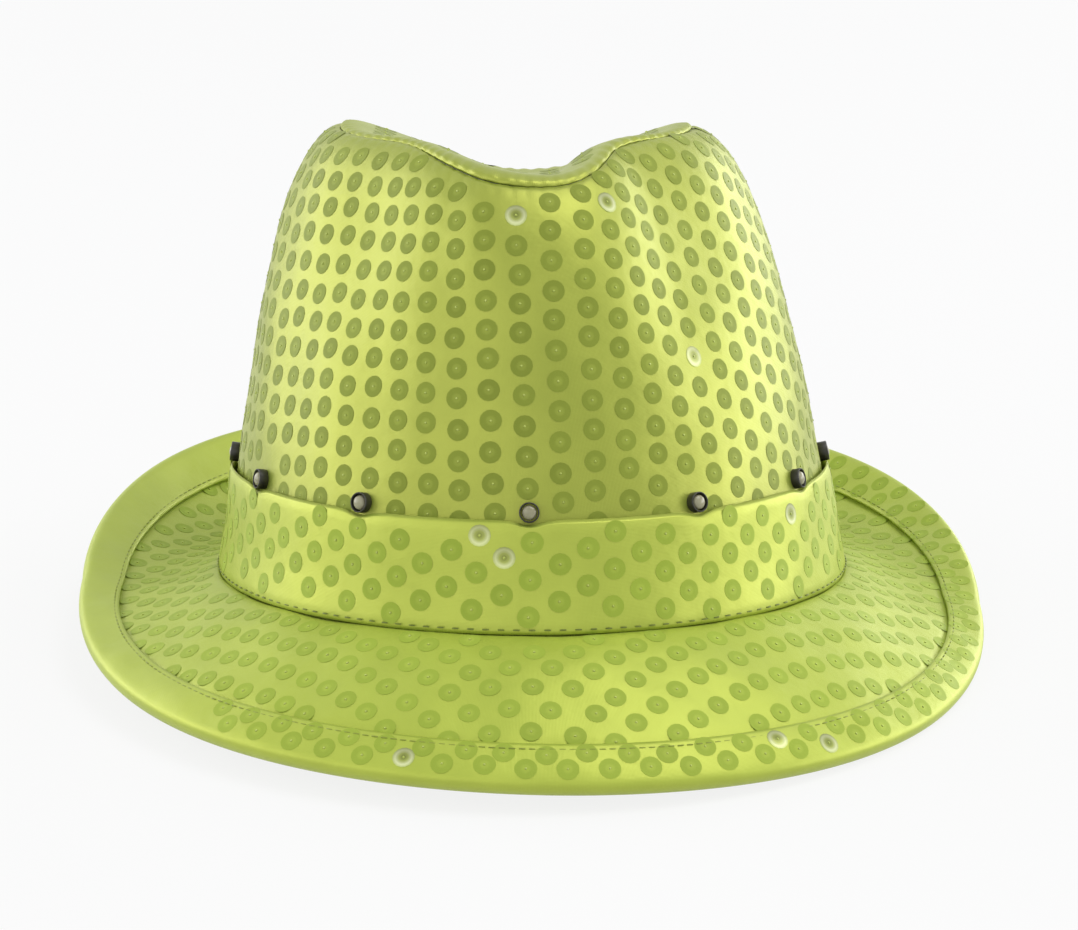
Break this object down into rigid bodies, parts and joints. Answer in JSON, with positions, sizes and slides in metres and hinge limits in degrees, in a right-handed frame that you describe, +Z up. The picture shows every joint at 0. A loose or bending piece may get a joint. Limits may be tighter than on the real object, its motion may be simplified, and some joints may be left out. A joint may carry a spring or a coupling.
{
  "type": "light-up fedora hat",
  "caption": "Sequin-covered costume fedora with a dented, pinched crown, a curled brim, small lamps above the hatband and a push-button battery box inside the back.",
  "frame": {"origin": "on the surface that the hat stands on, under the middle of its overall box", "axes": "+Z up, the wearer faces -Y, +X to the wearer's left; the hat stands as pictured, leaning back so that its brim rests at the front edge and under the back of the crown"},
  "size_m": [0.2606, 0.3092, 0.1497],
  "materials": {
    "sequin_cloth": "shiny lime cloth sewn with cupped sequins",
    "stiffener": "matte pressed non-woven",
    "lining_cloth": "thin black lining cloth",
    "sweatband_cloth": "ribbed black tape",
    "lamp_plastic": "clear, unlit lens",
    "sleeve_rubber": "satin black sleeve",
    "wire_plastic": "insulated wire",
    "box_plastic": "fine textured black",
    "button_plastic": "satin grey",
    "board_laminate": "green coated laminate",
    "steel": "plated"
  },
  "bodies": {
    "hat": {"crown_side_cover": "sequin_cloth", "crown_tip_cover": "sequin_cloth", "hatband": "sequin_cloth", "brim_top_cover": "sequin_cloth", "brim_under_cover": "sequin_cloth", "brim_edge_binding": "sequin_cloth", "crown_form": "stiffener", "brim_core": "stiffener", "lining_side": "lining_cloth", "lining_tip": "lining_cloth", "sweatband": "sweatband_cloth", "lamp_01": "lamp_plastic", "lamp_02": "lamp_plastic", "lamp_03": "lamp_plastic", "lamp_04": "lamp_plastic", "lamp_05": "lamp_plastic", "lamp_06": "lamp_plastic", "lamp_07": "lamp_plastic", "lamp_08": "lamp_plastic", "lamp_09": "lamp_plastic", "lamp_10": "lamp_plastic", "lamp_11": "lamp_plastic", "lamp_12": "lamp_plastic", "lamp_sleeve_01": "sleeve_rubber", "lamp_sleeve_02": "sleeve_rubber", "lamp_sleeve_03": "sleeve_rubber", "lamp_sleeve_04": "sleeve_rubber", "lamp_sleeve_05": "sleeve_rubber", "lamp_sleeve_06": "sleeve_rubber", "lamp_sleeve_07": "sleeve_rubber", "lamp_sleeve_08": "sleeve_rubber", "lamp_sleeve_09": "sleeve_rubber", "lamp_sleeve_10": "sleeve_rubber", "lamp_sleeve_11": "sleeve_rubber", "lamp_sleeve_12": "sleeve_rubber", "positive_wire": "wire_plastic", "negative_wire": "wire_plastic", "battery_box_base": "box_plastic", "battery_box_cover": "box_plastic", "tact_switch": "box_plastic", "circuit_board": "board_laminate", "coin_cell_1": "steel", "coin_cell_2": "steel", "plate_contact": "steel", "spring_contact": "steel", "cover_screw_left": "steel", "cover_screw_right": "steel"},
    "button": {"push_button": "button_plastic"},
    "door": {"battery_door": "box_plastic"}
  },
  "joints": [
    {"name": "button_press", "type": "slide", "parent": "hat", "child": "button", "axis": [0, 0.9905, 0.1374], "range_m": [0, 0.0008], "stiffness_N_per_m": 600},
    {"name": "door_slide", "type": "slide", "parent": "hat", "child": "door", "axis": [0, 0.1374, -0.9905], "range_m": [0, 0.02]}
  ]
}
